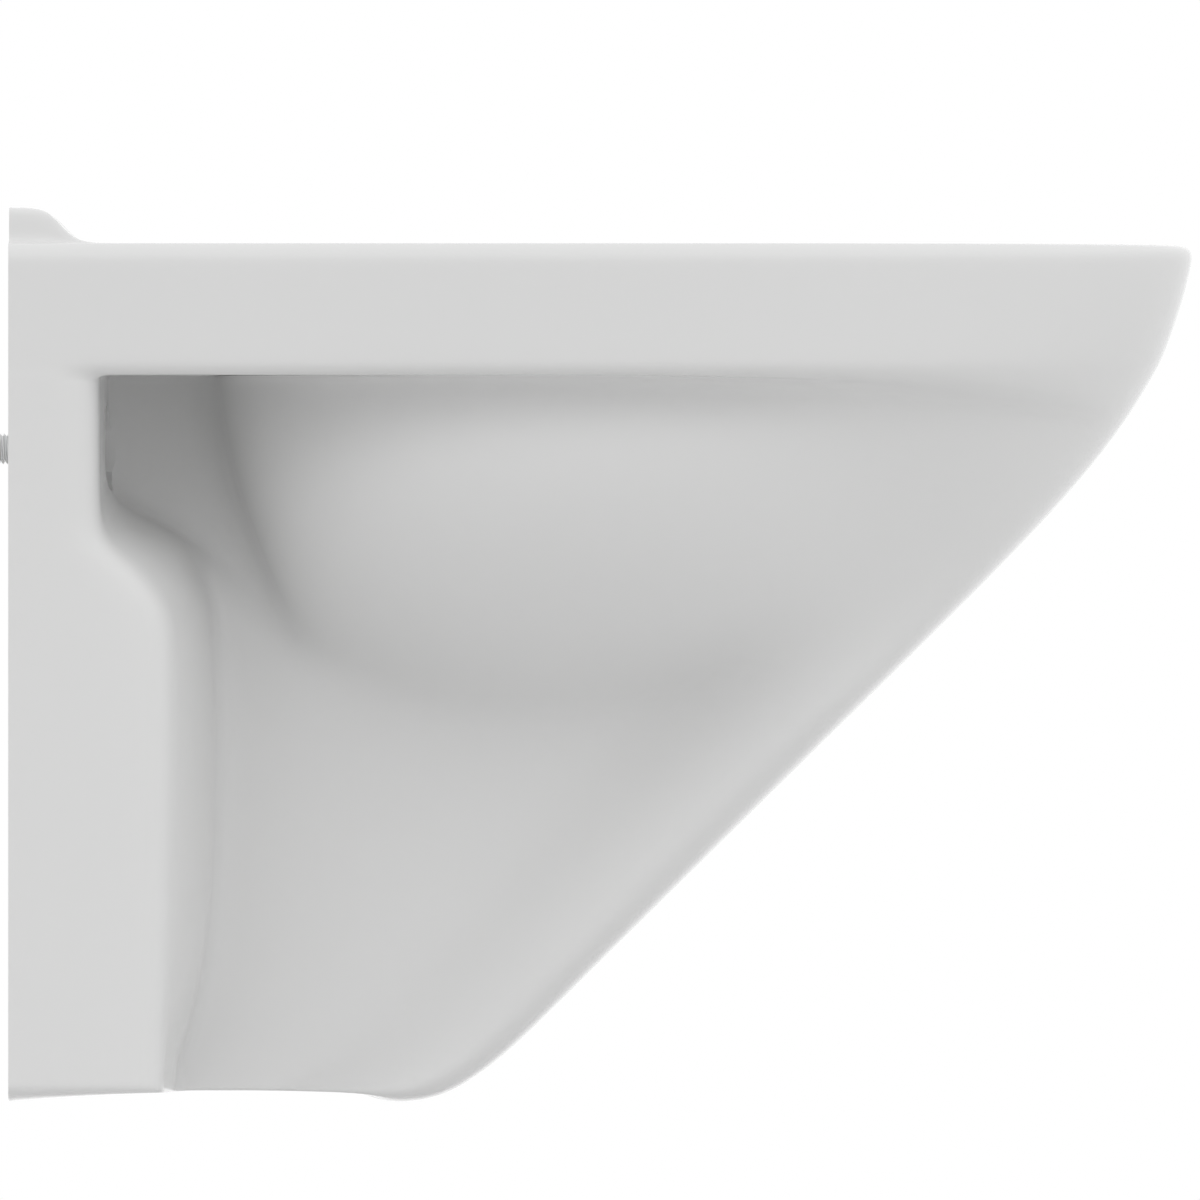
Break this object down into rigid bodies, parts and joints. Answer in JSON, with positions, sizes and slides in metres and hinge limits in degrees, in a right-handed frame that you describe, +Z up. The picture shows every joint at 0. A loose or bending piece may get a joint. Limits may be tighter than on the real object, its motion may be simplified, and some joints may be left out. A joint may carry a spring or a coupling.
{
  "type": "wall hung toilet pan",
  "caption": "Wall hung ceramic toilet pan with a deep rim band, a bowl on a sloping web, side recesses in the wall flange, and stud fixings with push-on cover caps.",
  "frame": {"origin": "on the wall plane, midway between the two wall studs", "axes": "+X forward from the wall, +Z up, +Y to the left of a person seated on the pan and facing away from the wall"},
  "size_m": [0.5519, 0.36, 0.3645],
  "materials": {
    "vitreous_china": "opaque white glazed vitreous china",
    "zinc_steel": "bright zinc-plated steel",
    "bush_plastic": "natural nylon",
    "cap_plastic": "glossy white plastic",
    "seal_rubber": "matte black rubber"
  },
  "bodies": {
    "pan": {"ceramic_pan": "vitreous_china", "inlet_seal": "seal_rubber", "wall_stud_left": "zinc_steel", "stud_bush_left": "bush_plastic", "steel_washer_left": "zinc_steel", "hex_nut_left": "zinc_steel", "wall_stud_right": "zinc_steel", "stud_bush_right": "bush_plastic", "steel_washer_right": "zinc_steel", "hex_nut_right": "zinc_steel"},
    "cap_left": {"cover_cap_left": "cap_plastic"},
    "cap_right": {"cover_cap_right": "cap_plastic"}
  },
  "joints": [
    {"name": "cap_left_pull", "type": "slide", "parent": "pan", "child": "cap_left", "axis": [1, 0, 0], "range_m": [0, 0.016]},
    {"name": "cap_right_pull", "type": "slide", "parent": "pan", "child": "cap_right", "axis": [1, 0, 0], "range_m": [0, 0.016]}
  ]
}
